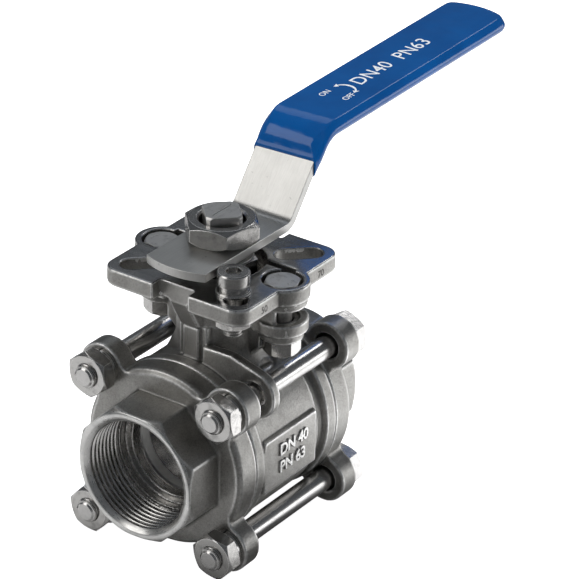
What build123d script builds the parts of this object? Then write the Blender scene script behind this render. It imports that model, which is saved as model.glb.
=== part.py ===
from build123d import *
import os
import math

# Three-piece ball valve, DN40 full bore, female threaded ends, direct-mount
# actuator pad and lever.  Millimetres.  Origin at the ball's centre, +X along
# the flow axis to the outlet, +Z up the stem.  Drawn open, lever along +X.

os.makedirs("parts", exist_ok=True)

# ---------------------------------------------------------------- dimensions
body_half = 26.8          # body face to centre
barrel_r = 36.0           # waist of the body
rim_r = 37.0              # body and cap rims
cavity_r = 30.5           # cavity the ball lives in
port_x = 56.0             # cap face to centre
flange_x = 37.0           # outer face of the cap disc
ear_in, ear_out = 28.5, 37.6
ear_r = 10.0
bolt_sq = 30.0            # body bolts at (+-30, +-30)
bolt_hole_r = 5.5
hub_af = 53.0             # octagon across flats
hub_face_r = 26.3         # turned end of the octagon
thread_root_r = 23.95     # G 1 1/2 root radius
bore_r = 19.0
ball_r = 28.5
seat_gap = 0.2

pad_top = 71.0
pad_t = 7.3
pad_bot = pad_top - pad_t
pad_hx, pad_hy = 33.3, 33.5
pad_corner = 7.0
slot_r0, slot_r1, slot_hw = 25.0, 35.0, 4.5
hub_bot = 50.3            # pad hub sits on the body neck here
neck_r = 18.0
recess_r = 17.5
pad_bolt_y = 28.6
stop_xy = -20.35

stem_r = 9.0
stem_sq = 14.0
lever_top, lever_t = 80.2, 3.4
lever_bot = lever_top - lever_t
lever_hw = 13.8
grip_z = 109.1            # mid-plane of the strip at the start of the grip
sleeve_side = 1.4         # dipped jacket, at the strip edges
sleeve_face = 1.8        # and on its two faces
nut_af = 24.0             # gland nut
handle_nut_af = 27.0


def hex_r(af):
    return af / math.sqrt(3)


def seat_x(r):
    """axial place of the seat's spherical face at radius r"""
    return math.sqrt((ball_r + seat_gap) ** 2 - r * r)


# ---------------------------------------------------------------- body
with BuildPart() as body:
    with BuildSketch(Plane.XY):
        with BuildLine():
            Polyline(
                (-body_half, 0), (-body_half, rim_r - 0.6), (-body_half + 0.6, rim_r),
                (-21.8, rim_r), (-20.6, barrel_r + 0.1), (-16, barrel_r), (15.6, barrel_r),
                (16.6, 34.2), (20.0, 34.2), (20.8, rim_r), (body_half - 0.6, rim_r),
                (body_half, rim_r - 0.6), (body_half, 0), close=True)
        make_face()
    revolve(axis=Axis.X)
    # raised rating panels, one each side
    with BuildSketch(Plane.XZ.offset(30)):
        with Locations((-3.4, -1.0)):
            RectangleRounded(34.4, 23.0, 0.8)
    extrude(amount=6.4)
    with BuildSketch(Plane.XZ.offset(-30)):
        with Locations((3.4, -1.0)):
            RectangleRounded(34.4, 23.0, 0.8)
    extrude(amount=-6.4)
    # neck and its front and back blocks
    with BuildSketch(Plane.XY.offset(20)):
        Circle(neck_r - 0.6)
        Rectangle(36.6, 13.4)
    extrude(amount=hub_bot - 20)
    with BuildSketch(Plane.XY.offset(20)):
        Rectangle(40.0, 7.3)
    extrude(amount=29.6)
    # spread of the neck where it runs into the barrel
    with BuildSketch(Plane.XY.offset(24)):
        Ellipse(19.0, 25.5)
    with BuildSketch(Plane.XY.offset(41.0)):
        Ellipse(17.0, 16.8)
    loft()
    # web plates out to the pad-bolt lugs
    with BuildSketch(Plane.YZ.offset(-5.5)):
        with BuildLine():
            Polyline((-28.6, 50.0), (-28.6, 46.5), (-19.5, 39.0), (-14, 33.0), (14, 33.0),
                     (19.5, 39.0), (28.6, 46.5), (28.6, 50.0), (16, 50.2), (-16, 50.2), close=True)
        make_face()
    extrude(amount=11.0)
    for s in (-1, 1):
        with BuildSketch(Plane.XY.offset(50.4)):
            with Locations((0, s * pad_bolt_y)):
                Circle(10.4)
        extrude(amount=5.0)
        with BuildSketch(Plane.XY.offset(46.6)):
            with Locations((0, s * pad_bolt_y)):
                Circle(8.6)
        extrude(amount=4.2)
        # side cheeks of the bolt window, the outer one reaching further round
        with BuildSketch(Plane.XY.offset(50.4)):
            with Locations((s * 8.1, s * 26.0)):
                RectangleRounded(2.2, 11.0, 0.8)
            with Locations((-s * 8.1, s * 24.6)):
                RectangleRounded(2.2, 8.0, 0.8)
        extrude(amount=61.0 - 50.4)
    # half wall behind each bolt, up to the underside of the pad boss
    with BuildSketch(Plane.XY.offset(50)):
        for s in (-1, 1):
            with Locations((0, s * (pad_bolt_y - 4.0))):
                RectangleRounded(18.4, 8.4, 1.5)
    extrude(amount=61.0 - 50)
    # bolt ears with webs, opposite corners
    with BuildSketch(Plane.YZ.offset(-20.6)):
        with BuildLine():
            Polyline((-6, 30), (-6, 43.0), (-19.4, 43.4), (-31.5, 40.0), (-39.9, 31.0), (-36.5, 22.4), (-20, 24), close=True)
        make_face()
        with Locations((-bolt_sq, bolt_sq)):
            Circle(ear_r)
    extrude(amount=4.4)
    with BuildSketch(Plane.YZ.offset(16.2)):
        with BuildLine():
            Polyline((6, 30), (6, 43.0), (19.4, 43.4), (31.5, 40.0), (39.9, 31.0), (36.5, 22.4), (20, 24), close=True)
        make_face()
        with Locations((bolt_sq, bolt_sq)):
            Circle(ear_r)
    extrude(amount=4.4)
    # cavity, seal grooves, bolt passages
    with BuildSketch(Plane.YZ.offset(-body_half)):
        Circle(cavity_r)
    extrude(amount=2 * body_half, mode=Mode.SUBTRACT)
    with BuildSketch(Plane.YZ.offset(-body_half)):
        Circle(32.8)
    extrude(amount=2.2, mode=Mode.SUBTRACT)
    with BuildSketch(Plane.YZ.offset(body_half - 2.2)):
        Circle(32.8)
    extrude(amount=2.2, mode=Mode.SUBTRACT)
    with BuildSketch(Plane.YZ.offset(-21)):
        with Locations((-bolt_sq, bolt_sq)):
            Circle(bolt_hole_r)
    extrude(amount=6, mode=Mode.SUBTRACT)
    with BuildSketch(Plane.YZ.offset(15.5)):
        with Locations((bolt_sq, bolt_sq)):
            Circle(bolt_hole_r)
    extrude(amount=6, mode=Mode.SUBTRACT)
    # pad-bolt holes and the window round each bolt
    with BuildSketch(Plane.XY.offset(46)):
        with Locations((0, pad_bolt_y), (0, -pad_bolt_y)):
            Circle(4.4)
    extrude(amount=20, mode=Mode.SUBTRACT)
    with BuildSketch(Plane.XY.offset(54.4)):
        with Locations((0, pad_bolt_y), (0, -pad_bolt_y)):
            Circle(7.0)
    extrude(amount=10, mode=Mode.SUBTRACT)
    # room for the pad hub
    with BuildSketch(Plane.XY.offset(hub_bot)):
        Circle(19.2)
    extrude(amount=12, mode=Mode.SUBTRACT)
    # seats for the nuts under the lugs
    with BuildSketch(Plane.XY.offset(30)):
        with Locations((0, pad_bolt_y), (0, -pad_bolt_y)):
            Circle(8.4)
    extrude(amount=16.6, mode=Mode.SUBTRACT)
    # stem bores: collar pocket, guide, stuffing box
    with BuildSketch(Plane.XY.offset(24)):
        Circle(12.6)
    extrude(amount=11.0, mode=Mode.SUBTRACT)
    with BuildSketch(Plane.XY.offset(30)):
        Circle(stem_r + 0.08)
    extrude(amount=25, mode=Mode.SUBTRACT)
    with BuildSketch(Plane.XY.offset(39)):
        Circle(12.0)
    extrude(amount=15, mode=Mode.SUBTRACT)
body.part.label = "body"

# ---------------------------------------------------------------- end caps
cap_profile = [
    (body_half, 0), (body_half, rim_r - 0.4), (body_half + 0.4, rim_r),
    (flange_x - 1.6, rim_r), (flange_x - 0.5, rim_r - 0.5), (flange_x, rim_r - 1.6), (flange_x, 0)]

with BuildPart() as end_cap_outlet:
    with BuildSketch(Plane.XY):
        with BuildLine():
            Polyline(*cap_profile, close=True)
        make_face()
    revolve(axis=Axis.X)
    # four bolt ears, run into the rim
    with BuildSketch(Plane.YZ.offset(ear_in)) as ears_sk:
        Circle(rim_r - 1.7)
        with GridLocations(2 * bolt_sq, 2 * bolt_sq, 2, 2):
            Circle(ear_r)
        fillet(ears_sk.vertices(), 5.0)
    extrude(amount=ear_out - ear_in)
    # octagon hub, its corners turned away at the end
    with BuildSketch(Plane.YZ.offset(flange_x - 1)):
        RegularPolygon(radius=hub_af / 2, side_count=8, major_radius=False, rotation=22.5)
    extrude(amount=port_x - flange_x + 1)
    with BuildSketch(Plane.XY):
        with BuildLine():
            Polyline((port_x + 1, hub_face_r), (port_x + 1, 40), (51.0, 40), (51.0, 29.6),
                     (53.4, 28.7), (port_x, hub_face_r), close=True)
        make_face()
    revolve(axis=Axis.X, mode=Mode.SUBTRACT)
    # spigot holding the seat
    with BuildSketch(Plane.XY):
        with BuildLine():
            Polyline((22.4, 24.5), (22.4, cavity_r - 0.5), (22.8, cavity_r - 0.1), (28, cavity_r - 0.1),
                     (28, 24.5), close=True)
        make_face()
    revolve(axis=Axis.X)
    # way through: seat pocket, bore, thread relief, thread root, mouth
    with BuildSketch(Plane.XY):
        with BuildLine():
            Polyline((22, 0), (22, 26.1), (25.6, 26.1), (25.6, bore_r), (31.5, bore_r), (31.9, bore_r + 0.4),
                     (31.9, 22.3), (32.1, 22.5), (35.7, 22.5), (35.7, thread_root_r), (54.6, thread_root_r),
                     (port_x, 24.6), (port_x + 1, 24.6), (port_x + 1, 0), close=True)
        make_face()
    revolve(axis=Axis.X, mode=Mode.SUBTRACT)
    with BuildSketch(Plane.YZ.offset(ear_in - 1)):
        with GridLocations(2 * bolt_sq, 2 * bolt_sq, 2, 2):
            Circle(bolt_hole_r)
    extrude(amount=ear_out - ear_in + 2, mode=Mode.SUBTRACT)
end_cap_outlet.part.label = "end_cap_outlet"

with BuildPart() as end_cap_inlet:
    add(end_cap_outlet.part.rotate(Axis.Z, 180))
end_cap_inlet.part.label = "end_cap_inlet"

# ---------------------------------------------------------------- seats, seals
with BuildPart() as seat_ring_outlet:
    with BuildSketch(Plane.XY):
        with BuildLine():
            Polyline((seat_x(24.2), 24.2), (seat_x(24.2), 26.0), (25.6, 26.0), (25.6, bore_r + 0.1),
                     (seat_x(bore_r + 0.6) + 0.5, bore_r + 0.1), (seat_x(bore_r + 0.6), bore_r + 0.6))
            ThreePointArc((seat_x(bore_r + 0.6), bore_r + 0.6), (seat_x(22.0), 22.0), (seat_x(24.2), 24.2))
        make_face()
    revolve(axis=Axis.X)
seat_ring_outlet.part.label = "seat_ring_outlet"

with BuildPart() as seat_ring_inlet:
    add(seat_ring_outlet.part.rotate(Axis.Z, 180))
seat_ring_inlet.part.label = "seat_ring_inlet"

with BuildPart() as body_seal_outlet:
    with BuildSketch(Plane.XY):
        with BuildLine():
            Polyline((body_half - 2.2, cavity_r - 0.08), (body_half - 2.2, 32.75),
                     (body_half, 32.75), (body_half, cavity_r - 0.08), close=True)
        make_face()
    revolve(axis=Axis.X)
body_seal_outlet.part.label = "body_seal_outlet"

with BuildPart() as body_seal_inlet:
    add(body_seal_outlet.part.rotate(Axis.Z, 180))
body_seal_inlet.part.label = "body_seal_inlet"

# ---------------------------------------------------------------- ball
with BuildPart() as ball:
    Sphere(ball_r)
    with BuildSketch(Plane.YZ.offset(-ball_r)):
        Circle(bore_r)
    extrude(amount=2 * ball_r, mode=Mode.SUBTRACT)
    # stem slot across the bore direction
    with BuildSketch(Plane.XY.offset(22.6)):
        Rectangle(9.2, 26.0)
    extrude(amount=8, mode=Mode.SUBTRACT)
    # cavity relief hole
    with BuildSketch(Plane.XY.offset(15)):
        Circle(1.5)
    extrude(amount=9, mode=Mode.SUBTRACT)
ball.part.label = "ball"

# ---------------------------------------------------------------- stem
stem_tip = 91.6
with BuildPart() as stem:
    with BuildSketch(Plane.XZ):
        with BuildLine():
            Polyline((0, 29.2), (12.2, 29.2), (12.4, 29.4), (12.4, 32.6), (12.0, 33.0), (stem_r, 33.0),
                     (stem_r, 35.7), (stem_r - 1.3, 35.7), (stem_r - 1.3, 37.7), (stem_r, 37.7),
                     (stem_r, stem_tip - 0.9), (stem_r - 0.8, stem_tip), (0, stem_tip), close=True)
        make_face()
    revolve(axis=Axis.Z)
    # tang that drives the ball
    with BuildSketch(Plane.XY.offset(22.9)):
        Rectangle(9.0, 20.0)
    extrude(amount=7)
    with BuildSketch(Plane.XY.offset(22.9)):
        Circle(10.6)
        Rectangle(30, 30, mode=Mode.ADD)
        Circle(10.6, mode=Mode.SUBTRACT)
    extrude(amount=6.3, mode=Mode.SUBTRACT)
    # square for the lever, corners left round
    with BuildSketch(Plane.XY.offset(lever_bot)):
        Circle(12)
        Rectangle(stem_sq, stem_sq, rotation=45, mode=Mode.SUBTRACT)
    extrude(amount=20, mode=Mode.SUBTRACT)
    # direction mark across the end
    with BuildSketch(Plane.XY.offset(stem_tip - 0.3)):
        Rectangle(12.0, 0.6)
    extrude(amount=1, mode=Mode.SUBTRACT)
stem.part.label = "stem"

# ---------------------------------------------------------------- stem sealing
with BuildPart() as thrust_washer:
    with BuildSketch(Plane.XY.offset(33.05)):
        Circle(12.5)
        Circle(stem_r + 0.08, mode=Mode.SUBTRACT)
    extrude(amount=1.93)
thrust_washer.part.label = "thrust_washer"

with BuildPart() as stem_o_ring:
    with BuildSketch(Plane.XZ):
        with Locations((stem_r - 0.28, 36.7)):
            Circle(0.92)
    revolve(axis=Axis.Z)
    with BuildSketch(Plane.XY.offset(35)):
        Circle(14)
        Circle(stem_r + 0.03, mode=Mode.SUBTRACT)
    extrude(amount=4, mode=Mode.SUBTRACT)
stem_o_ring.part.label = "stem_o_ring"

packing = []
with BuildPart() as stem_packing:
    for k in range(3):
        z0 = 39.0 + 2.7 * k
        with BuildSketch(Plane.XZ):
            with BuildLine():
                Polyline((stem_r + 0.07, z0), ((stem_r + 12) / 2, z0 + 0.9), (11.95, z0), (11.95, z0 + 1.7),
                         ((stem_r + 12) / 2, z0 + 2.6), (stem_r + 0.07, z0 + 1.7), close=True)
            make_face()
        revolve(axis=Axis.Z)
stem_packing.part.label = "stem_packing"

with BuildPart() as gland_ring:
    with BuildSketch(Plane.XZ):
        with BuildLine():
            Polyline((stem_r + 0.09, 46.2), ((stem_r + 12) / 2, 47.1), (11.9, 46.2), (11.9, 54.0), (13.4, 54.4),
                     (13.4, 56.4), (13.0, 56.8), (stem_r + 0.09, 56.8), close=True)
        make_face()
    revolve(axis=Axis.Z)
gland_ring.part.label = "gland_ring"

with BuildPart() as belleville_washers:
    for z0, s in ((56.9, 1), (60.2, -1)):
        with BuildSketch(Plane.XZ):
            with BuildLine():
                if s > 0:
                    Polyline((stem_r + 0.1, z0 + 1.0), (13.2, z0 + 0.0), (13.2, z0 + 1.5), (stem_r + 0.1, z0 + 2.5),
                             close=True)
                else:
                    Polyline((stem_r + 0.1, z0 - 0.5), (13.2, z0 + 0.5), (13.2, z0 + 2.0), (stem_r + 0.1, z0 + 1.0),
                             close=True)
            make_face()
        revolve(axis=Axis.Z)
belleville_washers.part.label = "belleville_washers"

with BuildPart() as gland_nut:
    with BuildSketch(Plane.XY.offset(62.3)):
        RegularPolygon(radius=nut_af / 2, side_count=6, major_radius=False)
    extrude(amount=10.2)
    with BuildSketch(Plane.XZ):
        with BuildLine():
            Polyline((nut_af / 2 - 0.4, 72.6), (16, 70.4), (16, 73.5), (nut_af / 2 - 0.4, 73.5), close=True)
        make_face()
    revolve(axis=Axis.Z, mode=Mode.SUBTRACT)
    with BuildSketch(Plane.XY.offset(62)):
        Circle(stem_r + 0.05)
    extrude(amount=12, mode=Mode.SUBTRACT)
gland_nut.part.label = "gland_nut"

# tab washer that keeps the gland nut from turning: one ear bent down on a flat
with BuildPart() as lock_tab:
    with BuildSketch(Plane.XY.offset(72.5)):
        Circle(12.4)
        Circle(stem_r + 0.1, mode=Mode.SUBTRACT)
    extrude(amount=1.2)
    with BuildSketch(Plane.XY.offset(72.5)):
        with Locations((12.6, 0)):
            Rectangle(3.4, 8.0)
    extrude(amount=1.2)
    with BuildSketch(Plane.XY.offset(67.0)):
        with Locations((14.8, 0)):
            Rectangle(1.2, 8.0)
    extrude(amount=6.7)
lock_tab.part.label = "lock_tab"

# spacer collar between the lock tab and the lever
with BuildPart() as lever_spacer:
    with BuildSketch(Plane.XY.offset(73.7)):
        Circle(11.2)
        Circle(stem_r + 0.1, mode=Mode.SUBTRACT)
    extrude(amount=lever_bot - 73.7)
lever_spacer.part.label = "lever_spacer"

# ---------------------------------------------------------------- mounting pad
with BuildPart() as mounting_pad:
    with BuildSketch(Plane.XY.offset(pad_bot)) as pad_sk:
        RectangleRounded(2 * pad_hx, 2 * pad_hy, pad_corner)
        with Locations((0, pad_bolt_y), (0, -pad_bolt_y)):
            Circle(10.8)
    extrude(amount=pad_t)
    # edge break all round the top and bottom
    top = mounting_pad.faces().sort_by(Axis.Z)[-1]
    bottom = mounting_pad.faces().sort_by(Axis.Z)[0]
    chamfer(top.edges(), 0.5)
    chamfer(bottom.edges(), 0.9)
    # bosses for the pad bolts hang below the plate
    with BuildSketch(Plane.XY.offset(61.0)):
        with Locations((0, pad_bolt_y), (0, -pad_bolt_y)):
            Circle(9.8)
    extrude(amount=5)
    # hub down to the neck, with a block front and back
    with BuildSketch(Plane.XY.offset(hub_bot)):
        Circle(19.0)
    extrude(amount=pad_top - 2.2 - hub_bot)
    # tapered ribs front and back, flush with the notch floors
    with BuildSketch(Plane.XZ.offset(-4.4)):
        with BuildLine():
            Polyline((-27.9, pad_bot + 1), (-27.9, pad_bot - 0.6), (-20.8, hub_bot), (20.8, hub_bot),
                     (27.9, pad_bot - 0.6), (27.9, pad_bot + 1), close=True)
        make_face()
    extrude(amount=8.8)
    # notches in the two end faces
    with BuildSketch(Plane.XY.offset(pad_bot - 2)):
        for s in (-1, 1):
            with Locations((s * 32.1, 0)):
                RectangleRounded(8.4, 16.8, 1.4)
    extrude(amount=pad_t + 4, mode=Mode.SUBTRACT)
    # recess round the stem, cross slots to the counterbores
    with BuildSketch(Plane.XY.offset(57.6)):
        Circle(recess_r)
    extrude(amount=20, mode=Mode.SUBTRACT)
    with BuildSketch(Plane.XY.offset(67.2)):
        with Locations((8.2, 0)):
            Rectangle(3.4, 2 * pad_bolt_y)
    extrude(amount=5, mode=Mode.SUBTRACT)
    with BuildSketch(Plane.XY.offset(65.2)):
        with Locations((0, pad_bolt_y), (0, -pad_bolt_y)):
            Circle(8.1)
    extrude(amount=8, mode=Mode.SUBTRACT)
    with BuildSketch(Plane.XY.offset(55)):
        with Locations((0, pad_bolt_y), (0, -pad_bolt_y)):
            Circle(4.4)
    extrude(amount=15, mode=Mode.SUBTRACT)
    # gland passage through the hub floor
    with BuildSketch(Plane.XY.offset(hub_bot - 1)):
        Circle(13.6)
    extrude(amount=10, mode=Mode.SUBTRACT)
    # slots for both bolt circles at the corners
    with BuildSketch(Plane.XY.offset(pad_bot - 1)):
        for ang in (45, 135, 225, 315):
            with PolarLocations(30, 1, start_angle=ang):
                SlotOverall(slot_r1 - slot_r0 + 2 * slot_hw, 2 * slot_hw)
    extrude(amount=pad_t + 2, mode=Mode.SUBTRACT)
mounting_pad.part.label = "mounting_pad"

# ---------------------------------------------------------------- body bolts
bolt_minor_r = 4.25
with BuildPart() as body_bolts:
    for y in (-bolt_sq, bolt_sq):
        for z in (-bolt_sq, bolt_sq):
            pln = Plane(origin=(0, y, z), x_dir=(1, 0, 0), z_dir=(0, 0, 1))
            with BuildSketch(pln):
                with BuildLine():
                    Polyline((-48.75, 0), (-48.75, 3.3), (-47.9, bolt_minor_r), (-28.0, bolt_minor_r),
                             (-27.6, 4.5), (ear_out, 4.5), (ear_out, 0), close=True)
                make_face()
            revolve(axis=Axis((0, y, z), (1, 0, 0)))
            with BuildSketch(Plane.YZ.offset(ear_out)):
                with Locations((y, z)):
                    RegularPolygon(radius=8.5, side_count=6, major_radius=False, rotation=12 if y * z > 0 else 26)
            extrude(amount=6.4)
            with BuildSketch(pln):
                with BuildLine():
                    Polyline((ear_out + 6.4, 8.1), (ear_out + 6.4, 11), (ear_out + 5.2, 11), (ear_out + 5.2, 10.1),
                             close=True)
                make_face()
            revolve(axis=Axis((0, y, z), (1, 0, 0)), mode=Mode.SUBTRACT)
body_bolts.part.label = "body_bolts"

nut_out, nut_in = 46.4, 39.7
with BuildPart() as body_nuts:
    for y in (-bolt_sq, bolt_sq):
        for z in (-bolt_sq, bolt_sq):
            pln = Plane(origin=(0, y, z), x_dir=(1, 0, 0), z_dir=(0, 0, 1))
            with BuildSketch(Plane.YZ.offset(-nut_out)):
                with Locations((y, z)):
                    RegularPolygon(radius=8.5, side_count=6, major_radius=False, rotation=22 if z > 0 else 12)
            extrude(amount=nut_out - nut_in)
            with BuildSketch(pln):
                with BuildLine():
                    Polyline((-nut_out, 8.1), (-nut_out, 11), (-nut_out + 1.2, 11), (-nut_out + 1.2, 10.1), close=True)
                make_face()
                with BuildLine():
                    Polyline((-nut_in, 8.1), (-nut_in, 11), (-nut_in - 1.2, 11), (-nut_in - 1.2, 10.1), close=True)
                make_face()
            revolve(axis=Axis((0, y, z), (1, 0, 0)), mode=Mode.SUBTRACT)
            with BuildSketch(pln):
                with BuildLine():
                    Polyline((-nut_out - 0.1, 0), (-nut_out - 0.1, 5.2), (-nut_out + 0.8, bolt_minor_r + 0.05),
                             (-nut_in - 0.8, bolt_minor_r + 0.05), (-nut_in + 0.1, 5.2), (-nut_in + 0.1, 0), close=True)
                make_face()
            revolve(axis=Axis((0, y, z), (1, 0, 0)), mode=Mode.SUBTRACT)
body_nuts.part.label = "body_nuts"

with BuildPart() as lock_washers:
    with BuildSketch(Plane.YZ.offset(-nut_in)):
        with GridLocations(2 * bolt_sq, 2 * bolt_sq, 2, 2):
            Circle(8.2)
            Circle(5.1, mode=Mode.SUBTRACT)
    extrude(amount=nut_in - ear_out)
    with BuildSketch(Plane.YZ.offset(-nut_in - 1)):
        with GridLocations(2 * bolt_sq, 2 * bolt_sq, 2, 2):
            with Locations((0, 6.6)):
                Rectangle(0.9, 4.6, rotation=18)
    extrude(amount=5, mode=Mode.SUBTRACT)
lock_washers.part.label = "lock_washers"

# ---------------------------------------------------------------- pad fasteners
with BuildPart() as pad_bolts:
    for y in (-pad_bolt_y, pad_bolt_y):
        with BuildSketch(Plane.XY.offset(65.2)):
            with Locations((0, y)):
                RegularPolygon(radius=6.5, side_count=6, major_radius=False, rotation=22)
        extrude(amount=5.3)
        with BuildSketch(Plane(origin=(0, y, 0), x_dir=(1, 0, 0), z_dir=(0, -1, 0))):
            with BuildLine():
                Polyline((6.4, 70.5), (9, 70.5), (9, 69.9), (7.6, 69.9), close=True)
            make_face()
        revolve(axis=Axis((0, y, 0), (0, 0, 1)), mode=Mode.SUBTRACT)
        with BuildSketch(Plane(origin=(0, y, 0), x_dir=(1, 0, 0), z_dir=(0, -1, 0))):
            with BuildLine():
                Polyline((0, 65.2), (4.0, 65.2), (4.0, 50), (3.4, 49.5), (3.4, 38.7), (2.7, 38.0), (0, 38.0), close=True)
            make_face()
        revolve(axis=Axis((0, y, 0), (0, 0, 1)))
pad_bolts.part.label = "pad_bolts"

with BuildPart() as pad_nuts:
    for y in (-pad_bolt_y, pad_bolt_y):
        with BuildSketch(Plane.XY.offset(40.1)):
            with Locations((0, y)):
                RegularPolygon(radius=6.5, side_count=6, major_radius=False, rotation=5)
        extrude(amount=6.5)
        with BuildSketch(Plane(origin=(0, y, 0), x_dir=(1, 0, 0), z_dir=(0, -1, 0))):
            with BuildLine():
                Polyline((6.1, 40.1), (9, 40.1), (9, 41.1), (7.7, 41.1), close=True)
            make_face()
        revolve(axis=Axis((0, y, 0), (0, 0, 1)), mode=Mode.SUBTRACT)
        with BuildSketch(Plane.XY.offset(40)):
            with Locations((0, y)):
                Circle(3.45)
        extrude(amount=7, mode=Mode.SUBTRACT)
pad_nuts.part.label = "pad_nuts"

# ---------------------------------------------------------------- lever stop
stop_pln = Plane(origin=(stop_xy, stop_xy, 0), x_dir=(1, 0, 0), z_dir=(0, -1, 0))
stop_axis = Axis((stop_xy, stop_xy, 0), (0, 0, 1))
with BuildPart() as stop_screw:
    with BuildSketch(stop_pln):
        with BuildLine():
            Polyline((0, 80.2), (5.9, 80.2), (6.4, 79.7), (6.4, 75.2), (4.0, 75.2), (4.0, 66.0), (3.4, 65.4),
                     (3.4, 53.7), (2.8, 53.1), (0, 53.1), close=True)
        make_face()
    revolve(axis=stop_axis)
    with BuildSketch(Plane.XY.offset(77.4)):
        with Locations((stop_xy, stop_xy)):
            RegularPolygon(radius=3.0, side_count=6, major_radius=False, rotation=10)
    extrude(amount=4, mode=Mode.SUBTRACT)
stop_screw.part.label = "stop_screw"

with BuildPart() as stop_sleeve:
    with BuildSketch(Plane.XY.offset(72.6)):
        with Locations((stop_xy, stop_xy)):
            Circle(5.7)
            Circle(4.05, mode=Mode.SUBTRACT)
    extrude(amount=2.6)
stop_sleeve.part.label = "stop_sleeve"

with BuildPart() as stop_washer:
    with BuildSketch(Plane.XY.offset(pad_top)):
        with Locations((stop_xy, stop_xy)):
            Circle(6.9)
            Circle(4.1, mode=Mode.SUBTRACT)
    extrude(amount=1.6)
    chamfer(stop_washer.faces().sort_by(Axis.Z)[-1].outer_wire().edges(), 0.5)
stop_washer.part.label = "stop_washer"

with BuildPart() as stop_nut:
    with BuildSketch(Plane.XY.offset(57.4)):
        with Locations((stop_xy, stop_xy)):
            RegularPolygon(radius=6.5, side_count=6, major_radius=False, rotation=35)
    extrude(amount=pad_bot - 57.4)
    with BuildSketch(stop_pln):
        with BuildLine():
            Polyline((6.0, 57.4), (9, 57.4), (9, 58.6), (7.8, 58.6), close=True)
        make_face()
    revolve(axis=stop_axis, mode=Mode.SUBTRACT)
    with BuildSketch(Plane.XY.offset(57)):
        with Locations((stop_xy, stop_xy)):
            Circle(3.45)
    extrude(amount=8, mode=Mode.SUBTRACT)
stop_nut.part.label = "stop_nut"

# ---------------------------------------------------------------- lever
mid = lever_top - lever_t / 2
bend1_x, bend2_x = 26.4, 50.2
grip_end = 179.6
grip_rise = 2.3
lever_mid = [(-34.0, mid), (bend1_x, mid), (bend2_x, grip_z), (grip_end, grip_z + grip_rise)]

with BuildPart() as lever:
    with BuildSketch(Plane.XZ.offset(-lever_hw)):
        with BuildLine() as lever_line:
            FilletPolyline(*lever_mid, radius=(6.5, 13.0))
        trace(lines=lever_line.line, line_width=lever_t)
    extrude(amount=2 * lever_hw)
    # rounded tail, concentric with the stem
    with BuildSketch(Plane.XY.offset(lever_bot - 2)):
        with Locations((-40, 0)):
            Rectangle(80, 60)
        Circle(32.4, mode=Mode.SUBTRACT)
    extrude(amount=lever_t + 4, mode=Mode.SUBTRACT)
    # rounded grip end
    with BuildSketch(Plane.XY.offset(100)):
        with Locations((grip_end - 4, 0)):
            Rectangle(20, 60)
        with Locations((grip_end - 30, 0)):
            RectangleRounded(58.8, 2 * lever_hw, 9.0, mode=Mode.SUBTRACT)
        with Locations((grip_end - 20, 0)):
            Rectangle(20, 60, mode=Mode.SUBTRACT)
    extrude(amount=30, mode=Mode.SUBTRACT)
    with BuildSketch(Plane.XY.offset(lever_bot - 1)):
        Rectangle(stem_sq + 0.12, stem_sq + 0.12, rotation=45)
        Circle(stem_r + 0.1, mode=Mode.INTERSECT)
    extrude(amount=lever_t + 2, mode=Mode.SUBTRACT)
lever.part.label = "lever"

# dipped sleeve: a jacket round the strip, open where the strip enters
sl_w = lever_t + 2 * sleeve_face
sl_hw = lever_hw + sleeve_side
rim_x = 40.7
# outline of its far end: one wide arc with the corners turned in
with BuildSketch() as tail_sk:
    with Locations((grip_end - 20, 0)):
        Rectangle(60, 2 * sl_hw)
    with Locations((grip_end + 3.2 - 24, 0)):
        Circle(24)
        Rectangle(48, 60, align=(Align.MAX, Align.CENTER))
    with BuildSketch(mode=Mode.INTERSECT):
        with Locations((grip_end - 20, 0)):
            Rectangle(60, 2 * sl_hw)
    ends = tail_sk.vertices().filter_by(lambda v: v.X > grip_end - 4)
    fillet(ends, 5.0)
with BuildPart() as lever_sleeve:
    with BuildSketch(Plane.XZ.offset(-sl_hw)):
        with BuildLine() as sl_line:
            FilletPolyline((36.0, mid + (36.0 - bend1_x) * (grip_z - mid) / (bend2_x - bend1_x)),
                           (bend2_x, grip_z), (grip_end + 3.2, grip_z + grip_rise * 1.02), radius=13.0)
        trace(lines=sl_line.line, line_width=sl_w)
    extrude(amount=2 * sl_hw)
    rim = lever_sleeve.edges().filter_by(lambda e: abs(abs(e.center().Y) - sl_hw) < 0.05 and e.length > 8)
    fillet(rim, 2.4)
    with BuildSketch(Plane.XY.offset(90)):
        with Locations((grip_end + 6, 0)):
            Rectangle(50, 60)
        add(tail_sk.sketch, mode=Mode.SUBTRACT)
    extrude(amount=40, mode=Mode.SUBTRACT)
    # dip line: the jacket ends on an upright plane
    with Locations((rim_x - 10, 0, 95)):
        Box(20, 60, 60, mode=Mode.SUBTRACT)
    add(lever.part, mode=Mode.SUBTRACT)
lever_sleeve.part.label = "lever_sleeve"

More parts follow.
